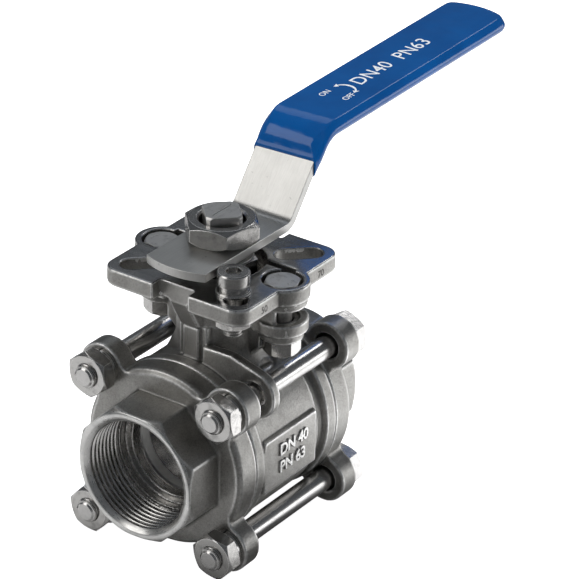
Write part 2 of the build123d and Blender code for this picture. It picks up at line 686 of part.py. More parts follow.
with BuildPart() as handle_nut:
    nut_top = lever_top + 8.6
    with BuildSketch(Plane.XY.offset(lever_top)):
        RegularPolygon(radius=handle_nut_af / 2, side_count=6, major_radius=False, rotation=43)
    extrude(amount=nut_top - lever_top)
    with BuildSketch(Plane.XZ):
        with BuildLine():
            Polyline((12.9, nut_top), (16.4, nut_top), (16.4, nut_top - 2.02), close=True)
        make_face()
        with BuildLine():
            Polyline((12.9, lever_top), (16.4, lever_top), (16.4, lever_top + 2.86), close=True)
        make_face()
    revolve(axis=Axis.Z, mode=Mode.SUBTRACT)
    with BuildSketch(Plane.XZ):
        with BuildLine():
            Polyline((0, lever_top - 0.1), (stem_r + 0.05, lever_top - 0.1), (stem_r + 0.05, nut_top - 0.8),
                     (stem_r + 1.0, nut_top + 0.1), (0, nut_top + 0.1), close=True)
        make_face()
    revolve(axis=Axis.Z, mode=Mode.SUBTRACT)
handle_nut.part.label = "handle_nut"

# ---------------------------------------------------------------- write
for piece in (
        body, end_cap_inlet, end_cap_outlet, seat_ring_inlet, seat_ring_outlet,
        body_seal_inlet, body_seal_outlet, ball, stem, thrust_washer, stem_o_ring,
        stem_packing, gland_ring, belleville_washers, gland_nut, lock_tab, lever_spacer,
        mounting_pad, body_bolts, body_nuts, lock_washers, pad_bolts, pad_nuts,
        stop_screw, stop_sleeve, stop_washer, stop_nut, lever, lever_sleeve, handle_nut):
    export_step(piece.part, "parts/" + piece.part.label + ".step")
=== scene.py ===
import math

import bmesh
import bpy
import numpy as np
from mathutils import Matrix, Vector


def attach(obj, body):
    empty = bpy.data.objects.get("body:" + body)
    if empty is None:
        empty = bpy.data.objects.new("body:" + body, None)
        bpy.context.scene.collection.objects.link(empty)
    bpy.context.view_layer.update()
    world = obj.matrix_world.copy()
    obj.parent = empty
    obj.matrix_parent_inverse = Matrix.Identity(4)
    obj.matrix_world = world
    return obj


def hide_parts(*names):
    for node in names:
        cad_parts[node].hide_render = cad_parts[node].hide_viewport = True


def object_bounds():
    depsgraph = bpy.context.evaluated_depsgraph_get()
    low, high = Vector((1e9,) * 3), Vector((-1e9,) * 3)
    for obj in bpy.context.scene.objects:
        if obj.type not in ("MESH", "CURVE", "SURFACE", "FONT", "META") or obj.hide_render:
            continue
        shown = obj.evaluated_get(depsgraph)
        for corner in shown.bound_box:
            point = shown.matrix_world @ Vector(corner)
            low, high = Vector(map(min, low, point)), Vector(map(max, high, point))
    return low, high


# Three-piece ball valve: looks.  Metres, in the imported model's frame:
# +X along the flow to the outlet, +Z up the stem.

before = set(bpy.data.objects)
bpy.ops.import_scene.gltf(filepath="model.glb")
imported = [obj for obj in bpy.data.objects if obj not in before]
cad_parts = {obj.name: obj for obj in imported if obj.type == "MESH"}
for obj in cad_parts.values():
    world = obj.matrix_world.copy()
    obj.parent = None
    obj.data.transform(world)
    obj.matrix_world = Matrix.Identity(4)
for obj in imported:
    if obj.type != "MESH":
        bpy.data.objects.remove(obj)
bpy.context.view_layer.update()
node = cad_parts
scene = bpy.context.scene
MM = 0.001

# ------------------------------------------------------------------ node helpers


def new_material(name):
    m = bpy.data.materials.new(name)
    m.use_nodes = True
    nt = m.node_tree
    nt.nodes.clear()
    out = nt.nodes.new("ShaderNodeOutputMaterial")
    bsdf = nt.nodes.new("ShaderNodeBsdfPrincipled")
    nt.links.new(bsdf.outputs[0], out.inputs[0])
    return m, nt, bsdf


def coords(nt, scale=(1, 1, 1), rot=(0, 0, 0)):
    tc = nt.nodes.new("ShaderNodeTexCoord")
    mp = nt.nodes.new("ShaderNodeMapping")
    mp.inputs["Scale"].default_value = scale
    mp.inputs["Rotation"].default_value = rot
    nt.links.new(tc.outputs["Object"], mp.inputs[0])
    return mp.outputs[0]


def noise(nt, vec, scale, detail=3.0, rough=0.55, distortion=0.0):
    n = nt.nodes.new("ShaderNodeTexNoise")
    n.inputs["Scale"].default_value = scale
    n.inputs["Detail"].default_value = detail
    n.inputs["Roughness"].default_value = rough
    n.inputs["Distortion"].default_value = distortion
    nt.links.new(vec, n.inputs["Vector"])
    return n.outputs[0]


def ramp(nt, fac, stops):
    r = nt.nodes.new("ShaderNodeValToRGB")
    e = r.color_ramp.elements
    while len(e) < len(stops):
        e.new(0.5)
    for el, (p, c) in zip(e, stops):
        el.position = p
        el.color = (c, c, c, 1) if not hasattr(c, "__len__") else (*c, 1)
    nt.links.new(fac, r.inputs[0])
    return r.outputs[0]


def mix_rgb(nt, fac, a, b, blend="MIX"):
    m = nt.nodes.new("ShaderNodeMix")
    m.data_type = "RGBA"
    m.blend_type = blend
    for sock, v in ((m.inputs[0], fac), (m.inputs[6], a), (m.inputs[7], b)):
        if isinstance(v, bpy.types.NodeSocket):
            nt.links.new(v, sock)
        elif hasattr(v, "__len__"):
            sock.default_value = (*v, 1)
        else:
            sock.default_value = v
    return m.outputs[2]


def math_node(nt, op, a, b=None, clamp=False):
    m = nt.nodes.new("ShaderNodeMath")
    m.operation = op
    m.use_clamp = clamp
    for sock, v in ((m.inputs[0], a), (m.inputs[1], b)):
        if v is None:
            continue
        if isinstance(v, bpy.types.NodeSocket):
            nt.links.new(v, sock)
        else:
            sock.default_value = v
    return m.outputs[0]


def bump(nt, height, distance, strength=1.0, normal=None):
    b = nt.nodes.new("ShaderNodeBump")
    b.inputs["Distance"].default_value = distance
    b.inputs["Strength"].default_value = strength
    nt.links.new(height, b.inputs["Height"])
    if normal is not None:
        nt.links.new(normal, b.inputs["Normal"])
    return b.outputs[0]


def edge_round(nt, radius):
    b = nt.nodes.new("ShaderNodeBevel")
    b.samples = 6
    b.inputs["Radius"].default_value = radius
    return b.outputs[0]


def painted_edge_mask(nt, rounded, lo=0.93, hi=0.998):
    """1 along sharp edges, where the base colour is lightened as a painted highlight; 0 on the flats."""
    g = nt.nodes.new("ShaderNodeNewGeometry")
    d = nt.nodes.new("ShaderNodeVectorMath")
    d.operation = "DOT_PRODUCT"
    nt.links.new(rounded, d.inputs[0])
    nt.links.new(g.outputs["Normal"], d.inputs[1])
    return ramp(nt, d.outputs["Value"], [(lo, 1.0), (hi, 0.0)])


def pointy(nt, lo, hi):
    g = nt.nodes.new("ShaderNodeNewGeometry")
    return ramp(nt, g.outputs["Pointiness"], [(lo, 0.0), (hi, 1.0)])


# ------------------------------------------------------------------ materials


def cast_steel():
    """Investment-cast stainless, blasted: fine grain, soft blotches, painted shade in the crevices, painted highlight
    on the edges.
    """
    m, nt, b = new_material("cast_steel")
    p = coords(nt)
    blotch = noise(nt, p, 75, 4, 0.62)
    grain = noise(nt, p, 1900, 3, 0.65)
    pits = noise(nt, p, 700, 4, 0.7)
    skin = noise(nt, p, 210, 3, 0.55)
    base = ramp(nt, blotch, [(0.30, (0.330, 0.322, 0.306)), (0.70, (0.470, 0.462, 0.445))])
    fine = ramp(nt, grain, [(0.28, (0.66, 0.66, 0.66)), (0.50, (0.97, 0.97, 0.97)), (0.75, (1.18, 1.18, 1.18))])
    base = mix_rgb(nt, 1.0, base, fine, "MULTIPLY")
    # painted shade: the base colour darkens in concave crevices
    crevice_shade = ramp(nt, pointy(nt, 0.440, 0.497), [(0.0, 0.45), (1.0, 1.0)])
    base = mix_rgb(nt, 1.0, base, crevice_shade, "MULTIPLY")
    # painted highlight: the base colour is lightened towards near-white along convex edges, broken up by the pits
    # noise; roughness there is also lower
    edge_glint = pointy(nt, 0.505, 0.526)
    broken = ramp(nt, pits, [(0.32, 0.35), (0.55, 1.0)])
    edge_glint = math_node(nt, "MULTIPLY", edge_glint, broken)
    base = mix_rgb(nt, edge_glint, base, (0.95, 0.945, 0.93))
    nt.links.new(base, b.inputs["Base Color"])
    b.inputs["Metallic"].default_value = 1.0
    r = ramp(nt, pits, [(0.35, 0.36), (0.70, 0.50)])
    r = math_node(nt, "SUBTRACT", r, math_node(nt, "MULTIPLY", edge_glint, 0.10))
    nt.links.new(r, b.inputs["Roughness"])
    n = bump(nt, skin, 0.00035, 0.50)
    n = bump(nt, pits, 0.00016, 0.60, n)
    n = bump(nt, grain, 0.00008, 0.75, n)
    nt.links.new(n, b.inputs["Normal"])
    return m


def machined_steel(name="machined_steel", tint=(0.50, 0.49, 0.475), rough=(0.22, 0.34), axis="X", rings=True):
    """Turned or milled stainless: fine tool marks across the cut."""
    m, nt, b = new_material(name)
    sc = {"X": (9.0, 1, 1), "Z": (1, 1, 9.0)}[axis]
    p = coords(nt, sc)
    marks = noise(nt, p, 420, 2, 0.5)
    blotch = noise(nt, coords(nt), 120, 3, 0.6)
    dark = tuple(v * 0.82 for v in tint)
    lite = tuple(min(1, v * 1.15) for v in tint)
    base = ramp(nt, blotch, [(0.3, dark), (0.7, lite)])
    nt.links.new(base, b.inputs["Base Color"])
    b.inputs["Metallic"].default_value = 1.0
    r = ramp(nt, marks, [(0.3, rough[0]), (0.7, rough[1])])
    nt.links.new(r, b.inputs["Roughness"])
    n = bump(nt, marks, 0.00003, 0.5, edge_round(nt, 0.00025))
    nt.links.new(n, b.inputs["Normal"])
    return m


def bright_steel(name="bright_steel", rough=(0.13, 0.24), tint=(0.56, 0.55, 0.535), radius=0.00045, smutty=0.72):
    """Cold-formed stainless fasteners: bright, faintly wavy, soft edges."""
    m, nt, b = new_material(name)
    p = coords(nt)
    wave = noise(nt, p, 330, 2, 0.5)
    fine = noise(nt, p, 2200, 2, 0.5)
    smut = noise(nt, p, 240, 4, 0.65)
    dark = tuple(v * smutty for v in tint)
    lite = tuple(min(1, v * 1.12) for v in tint)
    base = ramp(nt, smut, [(0.28, dark), (0.50, lite)])
    n = edge_round(nt, radius)
    edge = painted_edge_mask(nt, n)
    # painted highlight: the base colour is lightened along the sharp edges, which are also made rougher
    base = mix_rgb(nt, edge, base, (0.97, 0.965, 0.95))
    nt.links.new(base, b.inputs["Base Color"])
    b.inputs["Metallic"].default_value = 1.0
    r = ramp(nt, smut, [(0.35, rough[1]), (0.65, rough[0])])
    r = math_node(nt, "ADD", r, math_node(nt, "MULTIPLY", edge, 0.22))
    nt.links.new(r, b.inputs["Roughness"])
    n = bump(nt, wave, 0.0003, 0.16, n)
    n = bump(nt, fine, 0.00002, 0.35, n)
    nt.links.new(n, b.inputs["Normal"])
    return m


def polished_steel():
    """Ball: ground and polished."""
    m, nt, b = new_material("polished_steel")
    fine = noise(nt, coords(nt, (1, 1, 14)), 500, 2, 0.5)
    smut = noise(nt, coords(nt), 150, 3, 0.6)
    base = ramp(nt, smut, [(0.3, (0.50, 0.49, 0.48)), (0.7, (0.64, 0.63, 0.615))])
    nt.links.new(base, b.inputs["Base Color"])
    b.inputs["Metallic"].default_value = 1.0
    nt.links.new(ramp(nt, fine, [(0.3, 0.08), (0.7, 0.17)]), b.inputs["Roughness"])
    n = bump(nt, fine, 0.00002, 0.3, edge_round(nt, 0.0003))
    nt.links.new(n, b.inputs["Normal"])
    return m


def strip_steel():
    """Lever strip: satin-rolled, fine scratches along the strip, small marks."""
    m, nt, b = new_material("strip_steel")
    along = noise(nt, coords(nt, (0.10, 2.2, 0.25)), 900, 3, 0.6)
    fine = noise(nt, coords(nt), 2400, 3, 0.6)
    cloud = noise(nt, coords(nt), 70, 4, 0.55)
    speck = noise(nt, coords(nt), 520, 2, 0.5)
    base = ramp(nt, cloud, [(0.30, (0.585, 0.580, 0.562)), (0.70, (0.665, 0.660, 0.642))])
    streak = ramp(nt, along, [(0.30, (0.93, 0.93, 0.93)), (0.66, (1.03, 1.03, 1.03))])
    base = mix_rgb(nt, 1.0, base, streak, "MULTIPLY")
    base = mix_rgb(nt, 1.0, base, ramp(nt, speck, [(0.22, (0.72, 0.72, 0.72)), (0.31, (1.0, 1.0, 1.0))]), "MULTIPLY")
    n = edge_round(nt, 0.0004)
    # painted highlight: the base colour is lightened along the strip's sharp edges
    base = mix_rgb(nt, painted_edge_mask(nt, n), base, (0.95, 0.94, 0.915))
    nt.links.new(base, b.inputs["Base Color"])
    b.inputs["Metallic"].default_value = 1.0
    nt.links.new(ramp(nt, fine, [(0.3, 0.34), (0.7, 0.42)]), b.inputs["Roughness"])
    n = bump(nt, along, 0.00003, 0.4, n)
    n = bump(nt, fine, 0.00002, 0.5, n)
    nt.links.new(n, b.inputs["Normal"])
    return m


def blue_vinyl():
    """Dipped vinyl: glossy, slightly uneven skin."""
    m, nt, b = new_material("blue_vinyl")
    p = coords(nt)
    cloud = noise(nt, p, 45, 3, 0.55)
    skin = noise(nt, p, 120, 2, 0.4)
    peel = noise(nt, p, 700, 2, 0.5)
    base = ramp(nt, cloud, [(0.25, (0.0002, 0.060, 0.232)), (0.75, (0.0004, 0.082, 0.300))])
    nt.links.new(base, b.inputs["Base Color"])
    b.inputs["Metallic"].default_value = 0.0
    b.inputs["IOR"].default_value = 1.50
    b.inputs["Specular IOR Level"].default_value = 0.22
    b.inputs["Coat Weight"].default_value = 0.45
    b.inputs["Coat Roughness"].default_value = 0.03
    nt.links.new(ramp(nt, peel, [(0.3, 0.12), (0.7, 0.18)]), b.inputs["Roughness"])
    n = bump(nt, skin, 0.0014, 0.30)
    n = bump(nt, peel, 0.00004, 0.25, n)
    nt.links.new(n, b.inputs["Normal"])
    return m


def plain_soft(name, lo, hi, rough):
    m, nt, b = new_material(name)
    p = coords(nt)
    c = noise(nt, p, 160, 3, 0.6)
    f = noise(nt, p, 1500, 2, 0.6)
    nt.links.new(ramp(nt, c, [(0.3, lo), (0.7, hi)]), b.inputs["Base Color"])
    nt.links.new(ramp(nt, f, [(0.3, rough), (0.7, rough + 0.12)]), b.inputs["Roughness"])
    nt.links.new(bump(nt, f, 0.00003, 0.4), b.inputs["Normal"])
    return m


def print_white():
    m, nt, b = new_material("print_white")
    p = coords(nt)
    f = noise(nt, p, 2400, 3, 0.6)
    nt.links.new(ramp(nt, f, [(0.30, (0.55, 0.62, 0.72)), (0.52, (0.86, 0.88, 0.90))]), b.inputs["Base Color"])
    nt.links.new(ramp(nt, f, [(0.3, 0.35), (0.7, 0.5)]), b.inputs["Roughness"])
    nt.links.new(bump(nt, f, 0.00002, 0.4), b.inputs["Normal"])
    return m


def milled_face():
    """Face-milled top of the pad: near-mirror with close parallel tool lines."""
    m, nt, b = new_material("milled_face")
    lines = noise(nt, coords(nt, (9.0, 0.35, 1.0), (0, 0, math.radians(38))), 260, 2, 0.5)
    soft = noise(nt, coords(nt), 55, 2, 0.5)
    fine = noise(nt, coords(nt), 1800, 2, 0.5)
    base = ramp(nt, soft, [(0.3, (0.49, 0.49, 0.492)), (0.7, (0.58, 0.578, 0.575))])
    nt.links.new(base, b.inputs["Base Color"])
    b.inputs["Metallic"].default_value = 1.0
    nt.links.new(ramp(nt, lines, [(0.3, 0.17), (0.7, 0.25)]), b.inputs["Roughness"])
    n = bump(nt, lines, 0.00003, 0.22, edge_round(nt, 0.0003))
    n = bump(nt, fine, 0.00001, 0.3, n)
    nt.links.new(n, b.inputs["Normal"])
    return m


def stamp_painted_shade():
    """Stamped figures: dark colour painted in as the shade at the floor of a stamped recess; unpolished."""
    m, nt, b = new_material("stamp_painted_shade")
    f = noise(nt, coords(nt), 1500, 3, 0.6)
    nt.links.new(ramp(nt, f, [(0.3, (0.045, 0.043, 0.040)), (0.7, (0.12, 0.115, 0.11))]), b.inputs["Base Color"])
    b.inputs["Metallic"].default_value = 0.8
    nt.links.new(ramp(nt, f, [(0.3, 0.45), (0.7, 0.6)]), b.inputs["Roughness"])
    nt.links.new(bump(nt, f, 0.00003, 0.5), b.inputs["Normal"])
    return m


CAST = cast_steel()
MILLED = milled_face()
STAMP = stamp_painted_shade()
MACHINED = machined_steel()
MACH_Z = machined_steel("machined_steel_z", axis="Z")
BRIGHT = bright_steel()
SHANK = bright_steel("drawn_steel", (0.22, 0.27), (0.58, 0.57, 0.56), 0.0002, 0.93)
FORGED = bright_steel("forged_steel", (0.36, 0.48), (0.66, 0.65, 0.635), 0.00045, 0.80)
THREAD = machined_steel("thread_steel", (0.60, 0.59, 0.575), (0.16, 0.28))
MOUTH = machined_steel("mouth_steel", (0.74, 0.735, 0.72), (0.26, 0.36))
POLISHED = polished_steel()
STRIP = strip_steel()
VINYL = blue_vinyl()
PTFE = plain_soft("ptfe", (0.66, 0.66, 0.64), (0.80, 0.80, 0.78), 0.38)
RUBBER = plain_soft("rubber", (0.012, 0.012, 0.012), (0.03, 0.03, 0.03), 0.5)
PRINT = print_white()

# ------------------------------------------------------------------ mesh helpers


def paint(obj, *mats):
    obj.data.materials.clear()
    for m in mats:
        obj.data.materials.append(m)


def piece(name, mesh, mat, body="valve_body", smooth=True):
    o = bpy.data.objects.new(name, mesh)
    scene.collection.objects.link(o)
    if mat is not None:
        paint(o, mat)
    if smooth:
        mesh.shade_smooth()
    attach(o, body)
    return o


def get_arrays(me):
    co = np.empty(len(me.vertices) * 3)
    me.vertices.foreach_get("co", co)
    return co.reshape(-1, 3)


def casting(src, name, voxel, passes, keep=None, mat=CAST, limit=190000):
    """A cast piece: the CAD shape resampled, its as-cast edges and corners eased.
    keep(co) gives 0 where a surface is machined and stays sharp, 1 where it is as cast."""
    me = src.data.copy()
    o = bpy.data.objects.new(name, me)
    scene.collection.objects.link(o)
    bm = bmesh.new()
    bm.from_mesh(me)
    bmesh.ops.remove_doubles(bm, verts=bm.verts, dist=1e-6)
    bm.to_mesh(me)
    bm.free()
    md = o.modifiers.new("resample", "REMESH")
    md.mode = "VOXEL"
    md.voxel_size = voxel
    md.use_smooth_shade = True
    dg = bpy.context.evaluated_depsgraph_get()
    out = bpy.data.meshes.new_from_object(o.evaluated_get(dg))
    o.modifiers.clear()
    o.data = out
    bpy.data.meshes.remove(me)
    co = get_arrays(out)
    ev = np.empty(len(out.edges) * 2, np.int64)
    out.edges.foreach_get("vertices", ev)
    ev = ev.reshape(-1, 2)
    n = len(co)
    deg = np.bincount(ev.ravel(), minlength=n).astype(float)
    deg[deg == 0] = 1
    w = np.ones(n) if keep is None else keep(co)
    w = w[:, None]

    def lap(x):
        s = np.zeros_like(x)
        for k in range(3):
            s[:, k] = np.bincount(ev[:, 0], x[ev[:, 1], k], n) + np.bincount(ev[:, 1], x[ev[:, 0], k], n)
        return s / deg[:, None] - x

    for _ in range(2):  # settles the resampling on every surface
        co = co + 0.5 * lap(co)
        co = co - 0.53 * lap(co)
    for _ in range(passes):
        co = co + 0.5 * w * lap(co)
    out.vertices.foreach_set("co", co.ravel())
    out.update()
    faces = sum(len(p.vertices) - 2 for p in out.polygons)
    if faces > limit:
        dm = o.modifiers.new("thin", "DECIMATE")
        dm.ratio = limit / faces
        dg = bpy.context.evaluated_depsgraph_get()
        thin = bpy.data.meshes.new_from_object(o.evaluated_get(dg))
        o.modifiers.clear()
        o.data = thin
        bpy.data.meshes.remove(out)
        out = thin
    out.name = name
    out.materials.clear()
    out.materials.append(mat)
    out.shade_smooth()
    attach(o, "valve_body")
    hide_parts(src.name)
    return o


def ridge(name, axis, centre, root, crest, pitch, start, stop, mat, body="valve_body",
          seg=64, embed=0.12, fade=0.6, flat=0.12, mouth=None):
    """A right-hand screw thread's ridge as a closed strip wound from start to stop.
    crest < root cuts inwards (a female thread), crest > root stands out."""
    s = 1 if crest > root else -1
    turns = (stop - start) / pitch
    steps = int(turns * seg)
    half = 0.47 * pitch
    prof = [(-half, root - s * embed), (-half * 0.98, root), (-half * 0.30 - flat * 0.2, root + (crest - root) * 0.72),
            (-flat * pitch * 0.5, crest), (flat * pitch * 0.5, crest),
            (half * 0.30 + flat * 0.2, root + (crest - root) * 0.72), (half * 0.98, root), (half, root - s * embed)]
    prof = np.array(prof)
    base = root - s * embed
    rows = []
    for i in range(steps + 1):
        t = i / seg
        th = 2 * math.pi * t
        k = min(1.0, t / fade, (turns - t) / fade)
        k = max(0.02, k)
        r = base + (prof[:, 1] - base) * k
        a = start + t * pitch + prof[:, 0] * (0.35 + 0.65 * k)
        if mouth is not None:  # the lead-in chamfer cuts the ridge back
            a = np.clip(a, -55.7, 55.7)
            r = np.maximum(r, mouth(np.abs(a)))
        if axis == "X":  # right-hand about +X: y to z
            pts = np.stack([a + centre[0], centre[1] + r * math.cos(th), centre[2] + r * math.sin(th)], 1)
        else:
            pts = np.stack([centre[0] + r * math.cos(th), centre[1] + r * math.sin(th), a + centre[2]], 1)
        rows.append(pts * MM)
    m = len(prof)
    v = np.concatenate(rows)
    faces = []
    for i in range(steps):
        for j in range(m):
            a, b2 = i * m + j, i * m + (j + 1) % m
            faces.append((a, b2, b2 + m, a + m))
    faces.append(tuple(range(m)))
    faces.append(tuple(range(steps * m, steps * m + m))[::-1])
    me = bpy.data.meshes.new(name)
    me.from_pydata(v.tolist(), [], faces)
    bm = bmesh.new()
    bm.from_mesh(me)
    bmesh.ops.recalc_face_normals(bm, faces=bm.faces)
    bm.to_mesh(me)
    bm.free()
    o = piece(name, me, mat, body)
    return o


def turned(name, prof, axis, centre, mat, body="valve_body", seg=192):
    """A ring turned from a closed profile of (axial, radius) points."""
    m = len(prof)
    v, faces = [], []
    for i in range(seg):
        th = 2 * math.pi * i / seg
        for a, r in prof:
            p = (a, r * math.cos(th), r * math.sin(th)) if axis == "X" else (r * math.cos(th), r * math.sin(th), a)
            v.append([(p[k] + centre[k]) * MM for k in range(3)])
    for i in range(seg):
        for j in range(m):
            a, b2 = i * m + j, i * m + (j + 1) % m
            c2, d2 = (i + 1) % seg * m + (j + 1) % m, (i + 1) % seg * m + j
            faces.append((a, b2, c2, d2))
    me = bpy.data.meshes.new(name)
    me.from_pydata(v, [], faces)
    bm = bmesh.new()
    bm.from_mesh(me)
    bmesh.ops.recalc_face_normals(bm, faces=bm.faces)
    bm.to_mesh(me)
    bm.free()
    o = piece(name, me, mat, body)
    me.set_sharp_from_angle(angle=math.radians(32))
    return o


def mark(name, text, size, mat, at, right, up, depth, body="valve_body", bold=0.0, soft=0.0,
         shear=0.0, spacing=1.0, align="LEFT"):
    """Letters as real geometry, standing depth above the face they sit on."""
    cu = bpy.data.curves.new(name, "FONT")
    cu.body = text
    cu.size = size * MM
    cu.extrude = 0.5 * depth * MM
    cu.offset = bold * MM
    cu.bevel_depth = soft * MM
    cu.bevel_resolution = 1
    cu.shear = shear
    cu.space_character = spacing
    cu.align_x = align
    cu.resolution_u = 6
    tmp = bpy.data.objects.new(name + "_curve", cu)
    scene.collection.objects.link(tmp)
    dg = bpy.context.evaluated_depsgraph_get()
    me = bpy.data.meshes.new_from_object(tmp.evaluated_get(dg))
    bpy.data.objects.remove(tmp)
    bpy.data.curves.remove(cu)
    rx, uy = Vector(right).normalized(), Vector(up).normalized()
    nz = rx.cross(uy)
    mt = Matrix.Identity(4)
    for i in range(3):
        mt[i][0], mt[i][1], mt[i][2], mt[i][3] = rx[i], uy[i], nz[i], at[i] * MM
    me.transform(mt)
    me.materials.clear()
    o = piece(name, me, mat, body, smooth=False)
    return o


# ------------------------------------------------------------------ cast parts


def smoothstep(x, a, b):
    t = np.clip((x - a) / (b - a), 0, 1)
    return t * t * (3 - 2 * t)


def keep_cap(side):
    def f(co):
        x = co[:, 0] * side / MM
        r = np.hypot(co[:, 1], co[:, 2]) / MM
        w = smoothstep(x, 27.3, 28.2)                 # machined joint face
        bore = (r < 25.3)
        w = np.where(bore, 0.0, w)                    # bore, threads
        w = w * (1 - smoothstep(x, 54.6, 55.2) * 0.7)  # turned end face
        return w
    return f


def keep_body(co):
    x, y, z = np.abs(co[:, 0]) / MM, co[:, 1] / MM, co[:, 2] / MM
    r = np.hypot(y, z)
    w = 1 - smoothstep(x, 26.0, 26.5)
    w = np.where((r < 33.0) & (x > 15.5) & (r > 0), 0.0, w)
    rs = np.hypot(co[:, 0], co[:, 1]) / MM
    w = np.where((z > 20) & (rs < 16.6), 0.0, w)      # stem bore
    return w


def keep_pad(co):
    x, y, z = co[:, 0] / MM, co[:, 1] / MM, co[:, 2] / MM
    rs = np.hypot(x, y)
    w = 1 - 0.8 * smoothstep(z, 70.2, 70.7)
    w = np.where(rs < 17.8, 0.0, w)
    return w


VOX = 0.00045
body_c = casting(node["body"], "valve_body_casting", VOX, 4, keep_body)
cap_i = casting(node["end_cap_inlet"], "end_cap_inlet_casting", VOX, 4, keep_cap(-1))
cap_o = casting(node["end_cap_outlet"], "end_cap_outlet_casting", VOX, 4, keep_cap(1))
pad_c = casting(node["mounting_pad"], "mounting_pad_casting", VOX * 0.9, 4, keep_pad)


def split_by(obj, mat, test):
    """Gives the faces that test(centre, normal) picks the second material."""
    me = obj.data
    me.materials.append(mat)
    n = len(me.polygons)
    c = np.empty(n * 3)
    me.polygons.foreach_get("center", c)
    nv = np.empty(n * 3)
    me.polygons.foreach_get("normal", nv)
    c, nv = c.reshape(-1, 3) / MM, nv.reshape(-1, 3)
    idx = np.empty(n, np.int32)
    me.polygons.foreach_get("material_index", idx)
    idx[test(c, nv)] = len(me.materials) - 1
    me.polygons.foreach_set("material_index", idx)


for o, side in ((cap_i, -1), (cap_o, 1)):
    split_by(o, MACHINED, lambda c, nv, side=side: np.hypot(c[:, 1], c[:, 2]) < 25.2)
    split_by(o, MOUTH, lambda c, nv, side=side: (c[:, 0] * side > 55.2) & (nv[:, 0] * side > 0.5))
split_by(body_c, MACHINED, lambda c, nv: (np.hypot(c[:, 1], c[:, 2]) < 31.5) & (np.abs(c[:, 0]) < 27)
         | (np.abs(c[:, 0]) > 26.6))
split_by(pad_c, MACH_Z, lambda c, nv: np.hypot(c[:, 0], c[:, 1]) < 17.7)
split_by(pad_c, MILLED, lambda c, nv: (c[:, 2] > 70.6) & (nv[:, 2] > 0.8))

# ------------------------------------------------------------------ screw threads

for s, nm in ((-1, "inlet"), (1, "outlet")):
    a, b = (-56.2, -35.6) if s < 0 else (35.6, 56.2)
    ridge("port_thread_" + nm, "X", (0, 0, 0), 23.95, 22.42, 2.309, a, b, THREAD, seg=128,
          embed=0.25, fade=0.5, flat=0.10, mouth=lambda x: np.where(x > 53.7, 22.62 + 1.07 * (x - 53.7), 0.0))
    turned("port_mouth_" + nm, [(s * 55.98, 24.62), (s * 55.96, 24.42), (s * 54.28, 22.62), (s * 54.10, 22.54),
                                (s * 53.85, 22.62), (s * 53.60, 24.2)], "X", (0, 0, 0), MOUTH)
for y in (-30, 30):
    for z in (-30, 30):
        tag = ("n" if y < 0 else "p") + ("n" if z < 0 else "p")
        ridge("bolt_thread_" + tag, "X", (0, y, z), 4.25, 4.95, 1.5, -48.2, -45.6, BRIGHT, seg=48)
ridge("stop_thread", "Z", (-20.35, -20.35, 0), 3.4, 3.97, 1.25, 53.5, 59.0, BRIGHT, seg=40)
for y, tag in ((-28.6, "n"), (28.6, "p")):
    ridge("pad_bolt_thread_" + tag, "Z", (0, y, 0), 3.4, 3.97, 1.25, 38.5, 41.5, BRIGHT, seg=40)

# ------------------------------------------------------------------ finishes on the CAD nodes

finish = {
    "seat_ring_inlet": PTFE, "seat_ring_outlet": PTFE, "body_seal_inlet": PTFE, "body_seal_outlet": PTFE,
    "ball": POLISHED, "stem": FORGED, "thrust_washer": PTFE, "stem_o_ring": RUBBER, "stem_packing": PTFE,
    "gland_ring": MACH_Z, "belleville_washers": BRIGHT, "gland_nut": BRIGHT, "lock_tab": STRIP,
    "lever_spacer": MACH_Z, "body_bolts": SHANK, "body_nuts": BRIGHT, "lock_washers": BRIGHT,
    "pad_bolts": FORGED, "pad_nuts": BRIGHT, "stop_screw": BRIGHT, "stop_sleeve": SHANK,
    "stop_washer": BRIGHT, "stop_nut": BRIGHT, "lever": STRIP, "lever_sleeve": VINYL, "handle_nut": BRIGHT,
}
for k, m in finish.items():
    paint(node[k], m)

# ------------------------------------------------------------------ dipped sleeve on the lever

GX0, GZ0, GX1, GZ1, GX2, GZ2, GR = 26.4, 78.5, 50.2, 109.1, 182.8, 111.45, 13.0


def sleeve_path():
    """Middle line of the strip from the rim to the tail: points and directions in XZ."""
    a, b, c = Vector((GX0, GZ0)), Vector((GX1, GZ1)), Vector((GX2, GZ2))
    d1, d2 = (b - a).normalized(), (c - b).normalized()
    turn = d1.angle(d2)
    t = GR * math.tan(turn / 2)
    p1 = b - d1 * t
    n1 = Vector((d1.y, -d1.x))           # towards the inside of the bend
    ctr = p1 + n1 * GR
    return a, b, d1, d2, t, p1, ctr, turn


